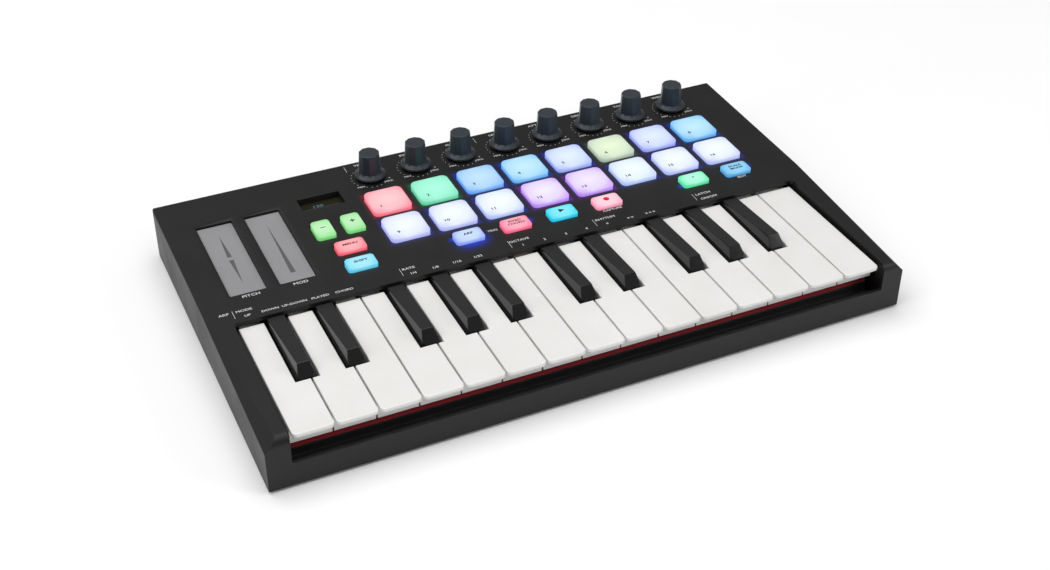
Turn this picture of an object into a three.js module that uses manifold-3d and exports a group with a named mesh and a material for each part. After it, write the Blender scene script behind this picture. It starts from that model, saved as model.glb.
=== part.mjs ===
// A 25-key desktop keyboard controller: a flat black case with two octaves of mini keys,
// sixteen backlit pads, eight knobs, ten backlit buttons, two touch strips and a small display.
// Units are millimetres, +X is the player's right, +Y points away from the player, +Z is up.
// The origin is on the table under the middle of the case.

import * as THREE from 'three';
import { mergeVertices } from 'three/addons/utils/BufferGeometryUtils.js';
import Module from 'manifold-3d';

const wasm = await Module();
wasm.setup();

// ---------------------------------------------------------------- driving dimensions

// Case. Heights in this file are measured from the case's lower rim, which the feet lift off the table.
const FOOT_PROUD = 1.5;
const CASE = { width: 342, depth: 205, height: 28.8, wall: 2.4, plate: 2.4, backRadius: 3, edgeRadius: 1.2 };
const GAP = 0.3; // air kept between pieces that touch
const BITE = 0.5; // how deep one joined shape sits in the next
const FAR = 20; // how far a cutting tool runs past the surface it cuts
const SNAP = 1e-3; // grid that corners are rounded to
const BEVEL = { start: 14, width: 6.2, drop: 6.4 }; // long tapering facet on each outer top edge
const NOSE = 4.8; // radius of the cheeks' front top edge
const RAIL = { top: 13, thickness: 2 }; // front wall under the keys
const BAY = { half: 159, back: -13.3, corner: 2 };
const CHEEK = { innerWall: 2, outerWall: 4.5, top: 24 }; // the hollow in the case at each end of the keys
const LID = { thickness: 2.2, recess: 2.5 };

// Keyboard.
const KEY = {
  count: 15, pitch: 21, gap: 0.9, corner: 2.5, wall: 1.5, roof: 1.8, lip: 2.2, rib: 2,
  front: -100.5, face: -94, skirtEnd: -79, bellyStart: -62, notch: -64.5, back: -14.1,
  topFront: 27.2, topBack: 25.6, belly: 20, skirt: 17.4,
};
const BLACK = {
  notchHalf: 6, baseHalf: 4.6, topHalf: 3.1, wall: 1.5, front: -63.3, crest: -58.8, back: -14.1,
  topFront: 32.3, topBack: 27.4, shoulder: 26.4, belly: 20, corner: 1.5,
};
// Each black key: the white key on its left (counted from 1) and its shift from that key's right edge.
const BLACK_PLACES = [
  [1, -1.8], [2, 1.8], [4, -2.7], [5, 0], [6, 2.8],
  [8, -1.8], [9, 1.8], [11, -2.7], [12, 0], [13, 2.8],
];
const PIVOT = { y: -5, z: 17, rod: 1.5, bore: 2, postHalf: 2, postWidth: 1.6 };
const TAIL = { front: -9.5, back: -2, top: 23, bottom: 14.2, inset: 1, blackHalf: 4.1 };
const DOME = { y: -45, base: 4, tip: 3, top: 18.1, sides: 6, sheet: 1.2, sheetHalf: 7, boardHalf: 14 };
const FELT = { front: -91, back: -80.6, top: 14, thickness: 1.7, half: 156.5 };
const BED = {
  half: 156.5, front: -97.5, back: -1, floor: 5.6, plate: 2, shelf: 12, shelfWall: 1.8, rail: 12.5,
};
const BED_RIBS = { thickness: 2, places: [-150, -52, 52, 148] };

// Control panel: one grid of 27 mm columns carries the knobs, the pads and the lower button row.
const COLUMN = { first: -53.7, pitch: 27, count: 8 };
const PAD = {
  size: 22, radius: 3, rows: [56.4, 29.7], proud: 2.3, gap: 0.4, sheet: 1.2, margin: 13,
  footHalf: 7, travelRoom: 2.6,
};
const BUTTON = {
  length: 16.2, width: 10.6, radius: 2, proud: 2, gap: 0.35, flange: 0.8, sheet: 1.6,
  stemHalf: 2, travelRoom: 1.2, rowY: 8.3,
};
const KNOB = {
  y: 84.3, skirt: 8.5, skirtTall: 2.5, capBase: 6.3, capTop: 5.8, tall: 14.5, lift: 1.3, edge: 0.6,
};
const SHAFT = { radius: 2.9, bore: 3.3, depth: 9.8, hole: 4, top: 39 };
const STRIP = {
  width: 19.2, front: 9.3, back: 74.9, sunk: 2, lip: 2, flange: 1.6, radius: 0.8,
  pitchX: -144.75, modX: -118.95,
};
const SLOPE = { depth: 0.7, width: 2.4 }; // the finger slope round each strip
const SCREEN = { x: -86.35, y: 72, width: 23.7, depth: 12, sunk: 3.8, collar: 1.4 };
const DISPLAY = { glassHalf: [13.6, 7.8], carrierHalf: [15.5, 11], glass: 2.4, carrier: 1.6 };

// Boards and sockets.
const BOARD = { top: 18, thickness: 1.6, halfWidth: 157, front: 2.5, back: 97.5 };
const POT = { width: 10, depth: 11, tall: 6.5 };
const SWITCH = { size: 6, tall: 3.5 };
const USB = { x: 96, width: 8.9, height: 3.2, depth: 9, wall: 0.4, radius: 1.5, tongue: [6.6, 0.7] };
const JACK = {
  x: 124, z: 12.4, body: 13, tall: 12, depth: 20, nose: 4.3, bore: 3.25, hole: 4.7, boreDepth: 17,
};
const FOOT = { radius: 7, recess: 1, thickness: 2.2, edge: 0.6, x: 148, y: 84 };
const SCREW = { head: 3.2, well: 1.1, shank: 1.6, boss: 3.4, pilot: 1.2, pilotDepth: 9 };
const BACK_SCREWS = [[-163, 94], [163, 94], [-163, 28], [163, 28], [-20, 94.5]];
const CHEEK_SCREWS = [[-163.7, -88], [163.7, -88]];
const POST_RADIUS = 3;
const POST_PLACES = [[-140, 12], [0, 20], [140, 20], [-140, 90], [15, 92], [146, 92]];

// ---------------------------------------------------------------- materials

function plastic(color, roughness) {
  return new THREE.MeshStandardMaterial({ color, roughness, metalness: 0 });
}

function metal(color, roughness) {
  return new THREE.MeshStandardMaterial({ color, roughness, metalness: 1 });
}

const casePlastic = plastic(0x2c2c2d, 0.62);
const whitePlastic = plastic(0xe8e7e5, 0.35);
const blackPlastic = plastic(0x1c1c1d, 0.3);
const knobRubber = plastic(0x2b3138, 0.6);
const stripPlastic = plastic(0x8f9092, 0.5);
const screenGlass = plastic(0x14150f, 0.12);
const padSilicone = plastic(0xdfe2ff, 0.5);
const feltRed = plastic(0x5c0a12, 0.95);
const footRubber = plastic(0x181818, 0.85);
const boardGreen = plastic(0x1d4a31, 0.45);
const domeRubber = plastic(0xb9bcb8, 0.6);
const frameBlack = plastic(0x222223, 0.7);
const socketSteel = metal(0xb4b6b8, 0.3);
const jackPlastic = plastic(0x161616, 0.4);

// ---------------------------------------------------------------- shape helpers

// A closed three.js geometry as a solid that can be joined and cut.
function solid(geometry) {
  geometry.deleteAttribute('normal');
  geometry.deleteAttribute('uv');
  const welded = mergeVertices(geometry, 1e-4);
  // Corners snap to a fine grid, so that faces meant to be flush are exactly flush.
  const snapped = Array.from(welded.attributes.position.array, (value) => Math.round(value / SNAP) * SNAP);
  return new wasm.Manifold(new wasm.Mesh({
    numProp: 3,
    vertProperties: new Float32Array(snapped),
    triVerts: new Uint32Array(welded.index.array),
  }));
}

function joined(solids) {
  return solids.reduce((whole, piece) => whole.add(piece));
}

function cut(body, tools) {
  return tools.reduce((rest, tool) => rest.subtract(tool), body);
}

function block([x0, x1], [y0, y1], [z0, z1]) {
  const box = new THREE.BoxGeometry(x1 - x0, y1 - y0, z1 - z0);
  return solid(box.translate((x0 + x1) / 2, (y0 + y1) / 2, (z0 + z1) / 2));
}

function mirrored([x0, x1], y, z) {
  return [block([x0, x1], y, z), block([-x1, -x0], y, z)];
}

// An outline in X and Y, raised from z0 to z1.
function upright(shape, [z0, z1], curveSegments = 2) {
  const geometry = new THREE.ExtrudeGeometry(shape, { depth: z1 - z0, bevelEnabled: false, curveSegments });
  return solid(geometry.translate(0, 0, z0));
}

// A list of corners as a shape; a shape passes through unchanged.
function outline(corners) {
  return Array.isArray(corners) ? new THREE.Shape(corners.map(([u, v]) => new THREE.Vector2(u, v))) : corners;
}

// An outline in Y and Z, drawn out along X.
function acrossX(corners, [x0, x1], curveSegments = 2) {
  const shape = outline(corners);
  const geometry = new THREE.ExtrudeGeometry(shape, { depth: x1 - x0, bevelEnabled: false, curveSegments });
  const turn = new THREE.Matrix4().makeBasis(
    new THREE.Vector3(0, 1, 0), new THREE.Vector3(0, 0, 1), new THREE.Vector3(1, 0, 0),
  );
  return solid(geometry.applyMatrix4(turn).translate(x0, 0, 0));
}

// An outline in X and Z, drawn out along Y.
function acrossY(corners, [y0, y1], curveSegments = 2) {
  const shape = outline(corners);
  const geometry = new THREE.ExtrudeGeometry(shape, { depth: y1 - y0, bevelEnabled: false, curveSegments });
  const turn = new THREE.Matrix4().makeBasis(
    new THREE.Vector3(1, 0, 0), new THREE.Vector3(0, 0, 1), new THREE.Vector3(0, -1, 0),
  );
  return solid(geometry.applyMatrix4(turn).translate(0, y1, 0));
}

function roundedRect(cx, cy, width, depth, radius) {
  const x = width / 2 - radius;
  const y = depth / 2 - radius;
  const shape = new THREE.Shape();
  shape.absarc(cx + x, cy - y, radius, -Math.PI / 2, 0, false);
  shape.absarc(cx + x, cy + y, radius, 0, Math.PI / 2, false);
  shape.absarc(cx - x, cy + y, radius, Math.PI / 2, Math.PI, false);
  shape.absarc(cx - x, cy - y, radius, Math.PI, 1.5 * Math.PI, false);
  return shape;
}

function cone(x, y, [z0, r0], [z1, r1], sides) {
  const geometry = new THREE.CylinderGeometry(r1, r0, z1 - z0, sides).rotateX(Math.PI / 2);
  return solid(geometry.translate(x, y, (z0 + z1) / 2));
}

function post(x, y, radius, [z0, z1], sides = 12) {
  return cone(x, y, [z0, radius], [z1, radius], sides);
}

function rodAlongY(x, z, radius, [y0, y1], sides = 16) {
  const geometry = new THREE.CylinderGeometry(radius, radius, y1 - y0, sides);
  return solid(geometry.translate(x, (y0 + y1) / 2, z));
}

function rodAlongX(y, z, radius, [x0, x1], sides = 8) {
  const geometry = new THREE.CylinderGeometry(radius, radius, x1 - x0, sides).rotateZ(Math.PI / 2);
  return solid(geometry.translate((x0 + x1) / 2, y, z));
}

// ---------------------------------------------------------------- layout

const halfWidth = CASE.width / 2;
const halfDepth = CASE.depth / 2;
const panelUnder = CASE.height - CASE.plate;
const boardBottom = BOARD.top - BOARD.thickness;

const screws = [...BACK_SCREWS, ...CHEEK_SCREWS];
const columns = Array.from({ length: COLUMN.count }, (_, i) => COLUMN.first + i * COLUMN.pitch);
const padPlaces = PAD.rows.flatMap((y) => columns.map((x) => [x, y]));

// Buttons by name: centre, and whether the long side runs front to back.
const BUTTONS = [
  ['button_minus', -94.1, 44.5, true],
  ['button_plus', -77.8, 44.5, true],
  ['button_menu', -86, 24.7, false],
  ['button_shift', -86, BUTTON.rowY, false],
  ['button_arp', columns[1], BUTTON.rowY, false],
  ['button_chord', columns[2], BUTTON.rowY, false],
  ['button_play', columns[3], BUTTON.rowY, false],
  ['button_record', columns[4], BUTTON.rowY, false],
  ['button_next', columns[6], BUTTON.rowY, false],
  ['button_sound', columns[7], BUTTON.rowY, false],
];

function keyEdge(index) {
  return (index - KEY.count / 2) * KEY.pitch;
}

const blackCentres = BLACK_PLACES.map(([left, shift]) => ({ left, x: keyEdge(left) + shift }));

// The wide front part of a white key, and the narrow part between its black neighbours.
function whiteSpans(index) {
  const wide = [keyEdge(index - 1) + KEY.gap / 2, keyEdge(index) - KEY.gap / 2];
  const leftBlack = blackCentres.find((black) => black.left === index - 1);
  const rightBlack = blackCentres.find((black) => black.left === index);
  const narrow = [
    leftBlack ? leftBlack.x + BLACK.notchHalf : wide[0],
    rightBlack ? rightBlack.x - BLACK.notchHalf : wide[1],
  ];
  return { wide, narrow };
}

// ---------------------------------------------------------------- case

// The outside of the upper shell: plan, side view and front view, kept where all three agree.
function caseBody() {
  const plan = new THREE.Shape();
  const r = CASE.backRadius;
  plan.moveTo(-halfWidth, -halfDepth);
  plan.lineTo(halfWidth, -halfDepth);
  plan.absarc(halfWidth - r, halfDepth - r, r, 0, Math.PI / 2, false);
  plan.absarc(r - halfWidth, halfDepth - r, r, Math.PI / 2, Math.PI, false);

  const side = new THREE.Shape();
  const e = CASE.edgeRadius;
  side.moveTo(-halfDepth, 0);
  side.lineTo(halfDepth, 0);
  side.absarc(halfDepth - e, CASE.height - e, e, 0, Math.PI / 2, false);
  side.absarc(NOSE - halfDepth, CASE.height - NOSE, NOSE, Math.PI / 2, Math.PI, false);

  const front = new THREE.Shape();
  front.moveTo(-halfWidth, 0);
  front.lineTo(halfWidth, 0);
  front.absarc(halfWidth - e, CASE.height - e, e, 0, Math.PI / 2, false);
  front.absarc(e - halfWidth, CASE.height - e, e, Math.PI / 2, Math.PI, false);

  return upright(plan, [0, CASE.height])
    .intersect(acrossX(side, [-halfWidth, halfWidth], 3))
    .intersect(acrossY(front, [-halfDepth, halfDepth], 2));
}

// The facet grows from nothing beside the buttons to its full width at the front.
function edgeBevel(sign) {
  const reach = BEVEL.start + halfDepth;
  const grown = (reach + FAR) / reach;
  const top = CASE.height;
  const tip = new THREE.Vector3(sign * halfWidth, BEVEL.start, top);
  const y = BEVEL.start - reach * grown;
  const inner = new THREE.Vector3(sign * (halfWidth - BEVEL.width * grown), y, top);
  const lower = new THREE.Vector3(sign * halfWidth, y, top - BEVEL.drop * grown);
  // Drawn out past the case's top and side so that the cut leaves no skin.
  const away = new THREE.Vector3(sign * FAR, 0, FAR);
  const near = [tip, inner, lower];
  const corners = [...near, ...near.map((corner) => corner.clone().add(away))];
  const faces = [[0, 1, 2], [3, 5, 4], [0, 3, 4], [0, 4, 1], [1, 4, 5], [1, 5, 2], [2, 5, 3], [2, 3, 0]];
  return polyhedron(corners, faces);
}

// A convex solid from its corners; each face is turned to look away from the middle.
function polyhedron(corners, faces) {
  const middle = corners.reduce((sum, c) => sum.add(c), new THREE.Vector3()).divideScalar(corners.length);
  const triangle = new THREE.Triangle();
  const normal = new THREE.Vector3();
  const positions = [];
  for (const face of faces) {
    const [a, b, c] = face.map((index) => corners[index]);
    triangle.set(a, b, c).getNormal(normal);
    const outward = normal.dot(a.clone().sub(middle)) > 0;
    for (const corner of outward ? [a, b, c] : [a, c, b]) positions.push(...corner);
  }
  const geometry = new THREE.BufferGeometry();
  geometry.setAttribute('position', new THREE.Float32BufferAttribute(positions, 3));
  return solid(geometry);
}

function caseCavity() {
  const back = halfDepth - CASE.wall;
  const side = halfWidth - CASE.wall;
  const cheek = [BAY.half + CHEEK.innerWall, halfWidth - CHEEK.outerWall];
  const bayPlan = new THREE.Shape();
  const r = BAY.corner;
  const bayFront = RAIL.thickness - halfDepth;
  bayPlan.moveTo(-BAY.half, bayFront);
  bayPlan.lineTo(BAY.half, bayFront);
  bayPlan.absarc(BAY.half - r, BAY.back - r, r, 0, Math.PI / 2, false);
  bayPlan.absarc(r - BAY.half, BAY.back - r, r, Math.PI / 2, Math.PI, false);
  const bevelEnd = BEVEL.start + 2;
  return [
    block([-side, side], [bevelEnd, back], [-1, panelUnder]),
    block([-BAY.half, BAY.half], [BAY.back - r, bevelEnd + 1], [-1, panelUnder]),
    ...mirrored(cheek, [bayFront + 1, bevelEnd + 1], [-1, CHEEK.top]),
    upright(bayPlan, [-1, CASE.height + FAR]),
    block([-BAY.half, BAY.half], [-halfDepth - 1, bayFront + 1], [RAIL.top, CASE.height + FAR]),
    block([-side, side], [bayFront, back], [-1, LID.recess]),
  ];
}

// Round bosses hang from the panel; in the narrow cheeks the boss fills the hollow from wall to wall.
function screwBosses() {
  const floor = LID.recess + GAP;
  const round = BACK_SCREWS.map(([x, y]) => post(x, y, SCREW.boss, [floor, panelUnder + BITE], 8));
  const [, cheekY] = CHEEK_SCREWS[0];
  const hollow = [BAY.half + CHEEK.innerWall, halfWidth - CHEEK.outerWall];
  const bossY = [cheekY - SCREW.boss, cheekY + SCREW.boss];
  const filled = mirrored([hollow[0] - BITE, hollow[1] + BITE], bossY, [floor, CHEEK.top + BITE]);
  return [...round, ...filled];
}

function stripRecess(x) {
  // A shallow slope leads the finger down to the strip on all four sides.
  const { front, back } = STRIP;
  const halfStrip = STRIP.width / 2;
  const low = CASE.height - SLOPE.depth;
  const high = CASE.height + SLOPE.depth;
  const ring = (grow, z) => [
    new THREE.Vector3(x - halfStrip - grow, front - grow, z),
    new THREE.Vector3(x + halfStrip + grow, front - grow, z),
    new THREE.Vector3(x + halfStrip + grow, back + grow, z),
    new THREE.Vector3(x - halfStrip - grow, back + grow, z),
  ];
  const corners = [...ring(0, low), ...ring(2 * SLOPE.width, high)];
  const faces = [[0, 1, 2], [0, 2, 3], [4, 5, 6], [4, 6, 7]];
  for (let i = 0; i < 4; i += 1) {
    const next = (i + 1) % 4;
    faces.push([i, next, next + 4], [i, next + 4, i + 4]);
  }
  return polyhedron(corners, faces);
}

function panelOpenings() {
  const through = [panelUnder - 1, CASE.height + 1];
  const padHole = PAD.size + 2 * PAD.gap;
  const pads = padPlaces.map(([x, y]) => upright(roundedRect(x, y, padHole, padHole, PAD.radius), through));
  const buttons = BUTTONS.map(([, x, y, turned]) => {
    const long = BUTTON.length + 2 * BUTTON.gap;
    const short = BUTTON.width + 2 * BUTTON.gap;
    const [w, d] = turned ? [short, long] : [long, short];
    return upright(roundedRect(x, y, w, d, BUTTON.radius), through);
  });
  const shafts = columns.map((x) => post(x, KNOB.y, SHAFT.hole, through, 16));
  const stripY = (STRIP.front + STRIP.back) / 2;
  const stripDepth = STRIP.back - STRIP.front;
  const strips = [STRIP.pitchX, STRIP.modX].map((x) => upright(
    roundedRect(x, stripY, STRIP.width, stripDepth, STRIP.radius), through, 1,
  ));
  const recesses = [STRIP.pitchX, STRIP.modX].map(stripRecess);
  const window = screenWindow(SCREEN.width, SCREEN.depth, SCREEN.sunk + GAP);
  return [...pads, ...buttons, ...shafts, ...strips, ...recesses, window];
}

function screenWindow(width, depth, reach) {
  const halfW = width / 2;
  const halfD = depth / 2;
  return block(
    [SCREEN.x - halfW, SCREEN.x + halfW], [SCREEN.y - halfD, SCREEN.y + halfD],
    [CASE.height - reach, CASE.height + 1],
  );
}

function screenCollar() {
  const grow = 2 * SCREEN.collar;
  const outer = screenWindow(SCREEN.width + grow, SCREEN.depth + grow, SCREEN.sunk - GAP);
  return outer.subtract(block([-halfWidth, 0], [0, halfDepth], [panelUnder + BITE, CASE.height + FAR]));
}

function rearOpenings() {
  const slotZ = BOARD.top + GAP + USB.height / 2;
  const slot = roundedRect(USB.x, slotZ, USB.width + 1, USB.height + 1, USB.radius);
  return [
    acrossY(slot, [halfDepth - CASE.wall - 1, halfDepth + 1]),
    rodAlongY(JACK.x, JACK.z, JACK.hole, [halfDepth - CASE.wall - 1, halfDepth + 1]),
  ];
}

function pilotHoles() {
  const floor = LID.recess + GAP;
  return screws.map(([x, y]) => post(x, y, SCREW.pilot, [floor - 1, floor + SCREW.pilotDepth], 6));
}

function topCase() {
  const shell = cut(caseBody(), [edgeBevel(-1), edgeBevel(1), ...caseCavity()]);
  const fitted = joined([shell, screenCollar(), ...screwBosses()]);
  return cut(fitted, [...panelOpenings(), ...rearOpenings(), ...pilotHoles()]);
}

function footCentres() {
  return [
    ['foot_front_left', -FOOT.x, -FOOT.y],
    ['foot_front_right', FOOT.x, -FOOT.y],
    ['foot_back_left', -FOOT.x, FOOT.y],
    ['foot_back_right', FOOT.x, FOOT.y],
  ];
}

function bottomCase() {
  const side = halfWidth - CASE.wall - GAP;
  const front = RAIL.thickness - halfDepth + GAP;
  const back = halfDepth - CASE.wall - GAP;
  const lid = block([-side, side], [front, back], [0, LID.thickness]);
  const standing = [LID.thickness - BITE, boardBottom - GAP];
  const posts = POST_PLACES.map(([x, y]) => post(x, y, POST_RADIUS, standing, 6));
  const wells = screws.flatMap(([x, y]) => [
    post(x, y, SCREW.head, [-1, SCREW.well], 10),
    post(x, y, SCREW.shank, [-1, LID.thickness + 1], 6),
  ]);
  const footWells = footCentres().map(([, x, y]) => post(x, y, FOOT.radius + GAP, [-1, FOOT.recess], 16));
  return cut(joined([lid, ...posts]), [...wells, ...footWells]);
}

function foot() {
  const profile = [
    [0, -FOOT_PROUD], [FOOT.radius - FOOT.edge, -FOOT_PROUD], [FOOT.radius, FOOT.edge - FOOT_PROUD],
    [FOOT.radius, FOOT.thickness - FOOT_PROUD], [0, FOOT.thickness - FOOT_PROUD],
  ];
  const points = profile.map(([r, z]) => new THREE.Vector2(r, z));
  return solid(new THREE.LatheGeometry(points, 16).rotateX(Math.PI / 2));
}

// ---------------------------------------------------------------- keys

// A hook at the key's tail drops over the pivot rod and is open below.
function tailHook(span) {
  const across = [span[0] - 1, span[1] + 1];
  const mouth = block(across, [PIVOT.y - PIVOT.bore, PIVOT.y + PIVOT.bore], [TAIL.bottom - 1, PIVOT.z]);
  return [rodAlongX(PIVOT.y, PIVOT.z, PIVOT.bore, across), mouth];
}

// The top plate overhangs the key's front wall, whose skirt lands on the felt.
function whiteSideView() {
  return [
    [KEY.face, KEY.skirt], [KEY.skirtEnd, KEY.skirt], [KEY.bellyStart, KEY.belly], [TAIL.front, KEY.belly],
    [TAIL.front, TAIL.bottom], [TAIL.back, TAIL.bottom], [TAIL.back, TAIL.top], [KEY.back, TAIL.top],
    [KEY.back, KEY.topBack], [KEY.front, KEY.topFront], [KEY.front, KEY.topFront - KEY.lip],
    [KEY.face, KEY.topFront - KEY.lip - GAP],
  ];
}

// The plan of a white key: wide in front, narrow beside the black keys, and a slim tail.
function whitePlan({ wide, narrow }) {
  const r = KEY.corner;
  const plan = new THREE.Shape();
  plan.absarc(wide[0] + r, KEY.front + r, r, Math.PI, 1.5 * Math.PI, false);
  plan.absarc(wide[1] - r, KEY.front + r, r, 1.5 * Math.PI, 2 * Math.PI, false);
  if (narrow[1] < wide[1]) plan.lineTo(wide[1], KEY.notch);
  plan.lineTo(narrow[1], KEY.notch);
  plan.lineTo(narrow[1], KEY.back);
  plan.lineTo(narrow[1] - TAIL.inset, KEY.back);
  plan.lineTo(narrow[1] - TAIL.inset, TAIL.back);
  plan.lineTo(narrow[0] + TAIL.inset, TAIL.back);
  plan.lineTo(narrow[0] + TAIL.inset, KEY.back);
  plan.lineTo(narrow[0], KEY.back);
  plan.lineTo(narrow[0], KEY.notch);
  if (narrow[0] > wide[0]) plan.lineTo(wide[0], KEY.notch);
  return plan;
}

// The key is hollow from below, with one cross rib left standing over its contact dome.
function whitePockets({ wide, narrow }) {
  const roof = KEY.topBack - KEY.roof;
  const low = KEY.skirt - 1;
  const [w0, w1] = [wide[0] + KEY.wall, wide[1] - KEY.wall];
  const [n0, n1] = [narrow[0] + KEY.wall, narrow[1] - KEY.wall];
  return [
    block([w0, w1], [KEY.face + KEY.wall, KEY.notch - KEY.wall], [low, roof]),
    block([n0, n1], [KEY.notch - KEY.wall - 1, DOME.y - KEY.rib], [low, roof]),
    block([n0, n1], [DOME.y + KEY.rib, KEY.back - KEY.wall], [low, roof]),
  ];
}

function whiteKey(index) {
  const spans = whiteSpans(index);
  const outside = upright(whitePlan(spans), [TAIL.bottom - 1, KEY.topFront + 1])
    .intersect(acrossX(whiteSideView(), [spans.wide[0] - 1, spans.wide[1] + 1]));
  return cut(outside, [...whitePockets(spans), ...tailHook(spans.narrow)]);
}

// The plan of a black key, with its two front corners taken off.
function blackPlan(x) {
  const [left, right] = [x - BLACK.baseHalf, x + BLACK.baseHalf];
  const shoulder = BLACK.front + BLACK.corner;
  return outline([
    [left, shoulder], [left + BLACK.corner, BLACK.front],
    [right - BLACK.corner, BLACK.front], [right, shoulder],
    [right, TAIL.back + 1], [left, TAIL.back + 1],
  ]);
}

function blackKey({ x }) {
  const side = [
    [BLACK.front, BLACK.belly], [TAIL.front, BLACK.belly],
    [TAIL.front, TAIL.bottom], [TAIL.back, TAIL.bottom],
    [TAIL.back, TAIL.top], [BLACK.back, TAIL.top], [BLACK.back, BLACK.topBack],
    [BLACK.crest, BLACK.topFront], [BLACK.front, BLACK.shoulder],
  ];
  const section = [
    [x - BLACK.baseHalf, TAIL.bottom - 1], [x + BLACK.baseHalf, TAIL.bottom - 1],
    [x + BLACK.baseHalf, BLACK.shoulder], [x + BLACK.topHalf, BLACK.topFront],
    [x - BLACK.topHalf, BLACK.topFront], [x - BLACK.baseHalf, BLACK.shoulder],
  ];
  const outside = acrossX(side, [x - BLACK.baseHalf, x + BLACK.baseHalf])
    .intersect(acrossY(section, [BLACK.front - 1, TAIL.back + 1]))
    .intersect(upright(blackPlan(x), [TAIL.bottom - 1, BLACK.topFront + 1]));
  const inner = BLACK.baseHalf - BLACK.wall;
  const roof = BLACK.topBack - BLACK.wall;
  const pocket = (y) => block([x - inner, x + inner], y, [BLACK.belly - 1, roof]);
  const tailSides = [-1, 1].map((sign) => {
    const edges = [x + sign * TAIL.blackHalf, x + sign * FAR].sort((a, b) => a - b);
    return block(edges, [BLACK.back, TAIL.back + 1], [TAIL.bottom - 1, TAIL.top + 1]);
  });
  return cut(outside, [
    pocket([BLACK.front + BLACK.corner + BLACK.wall, DOME.y - KEY.rib]),
    pocket([DOME.y + KEY.rib, BLACK.back - BLACK.wall]),
    ...tailSides,
    ...tailHook([x - BLACK.baseHalf, x + BLACK.baseHalf]),
  ]);
}

// ---------------------------------------------------------------- under the keys

function keyBed() {
  const plate = block([-BED.half, BED.half], [BED.front, BED.back], [BED.floor, BED.floor + BED.plate]);
  const wall = BED.shelfWall;
  const shelfY = [FELT.front - 1, FELT.back + 1];
  const shelf = block([-BED.half, BED.half], shelfY, [BED.floor, BED.shelf]);
  const channel = block(
    [wall - BED.half, BED.half - wall], [shelfY[0] + wall, shelfY[1] - wall], [0, BED.shelf - wall],
  );
  const reach = keyEdge(KEY.count) + KEY.gap;
  const rail = block([-reach, reach], [TAIL.front - BITE, BED.back], [BED.floor + GAP, BED.rail]);
  const ribs = BED_RIBS.places.map((x) => block(
    [x, x + BED_RIBS.thickness], [BED.front + 1, BED.back - 1], [LID.thickness + GAP, BED.floor + BITE],
  ));
  const postY = [PIVOT.y - PIVOT.postHalf, PIVOT.y + PIVOT.postHalf];
  const slim = PIVOT.postWidth / 2;
  const rodPosts = [keyEdge(3), keyEdge(7), keyEdge(10), keyEdge(14)].map((x) => block(
    [x - slim, x + slim], postY, [BED.rail - BITE, PIVOT.z + BITE],
  ));
  const rodEnds = mirrored([reach - PIVOT.postWidth, reach], postY, [BED.rail - BITE, PIVOT.z + PIVOT.bore]);
  const rod = rodAlongX(PIVOT.y, PIVOT.z, PIVOT.rod, [BITE - reach, reach - BITE]);
  const frame = joined([plate, shelf, rail, ...ribs]).subtract(channel);
  return joined([frame, ...rodPosts, ...rodEnds, rod]);
}

function keyFelt() {
  return block([-FELT.half, FELT.half], [FELT.front, FELT.back], [FELT.top - FELT.thickness, FELT.top]);
}

const contactBoardTop = BED.floor + BED.plate + GAP + BOARD.thickness;

function contactBoard() {
  const half = BED.half - 1;
  const y = [DOME.y - DOME.boardHalf, DOME.y + DOME.boardHalf];
  return block([-half, half], y, [contactBoardTop - BOARD.thickness, contactBoardTop]);
}

function contactRubber() {
  const half = BED.half - 2;
  const low = contactBoardTop + GAP;
  const sheetY = [DOME.y - DOME.sheetHalf, DOME.y + DOME.sheetHalf];
  const sheet = block([-half, half], sheetY, [low, low + DOME.sheet]);
  const whites = Array.from({ length: KEY.count }, (_, i) => {
    const { narrow } = whiteSpans(i + 1);
    return (narrow[0] + narrow[1]) / 2;
  });
  const centres = [...whites, ...blackCentres.map((black) => black.x)];
  const foot = low + DOME.sheet - BITE;
  const domes = centres.map((x) => cone(x, DOME.y, [foot, DOME.base], [DOME.top, DOME.tip], DOME.sides));
  return joined([sheet, ...domes]);
}

// ---------------------------------------------------------------- control panel

function padMat() {
  const grow = PAD.margin;
  const top = panelUnder - PAD.gap;
  const sheet = block(
    [columns[0] - grow, columns[COLUMN.count - 1] + grow], [PAD.rows[1] - grow, PAD.rows[0] + grow],
    [top - PAD.sheet, top],
  );
  const pads = padPlaces.map(([x, y]) => upright(
    roundedRect(x, y, PAD.size, PAD.size, PAD.radius), [top - BITE, CASE.height + PAD.proud], 1,
  ));
  const half = PAD.footHalf;
  const under = [BOARD.top + PAD.travelRoom, top - PAD.sheet + BITE];
  const feet = padPlaces.map(([x, y]) => block([x - half, x + half], [y - half, y + half], under));
  return joined([sheet, ...pads, ...feet]);
}

function button(turned) {
  const top = CASE.height + BUTTON.proud;
  const under = panelUnder - GAP;
  const cap = upright(roundedRect(0, 0, BUTTON.length, BUTTON.width, BUTTON.radius), [under - 1, top], 1);
  const halfLong = BUTTON.length / 2 + BUTTON.flange;
  const halfShort = BUTTON.width / 2 + BUTTON.flange;
  const flange = block([-halfLong, halfLong], [-halfShort, halfShort], [under - BUTTON.sheet, under]);
  const half = BUTTON.stemHalf;
  const stem = block([-half, half], [-half, half], [BOARD.top + SWITCH.tall + BUTTON.travelRoom, under - 1]);
  const whole = joined([cap, flange, stem]);
  return turned ? whole.rotate([0, 0, 90]) : whole;
}

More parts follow.
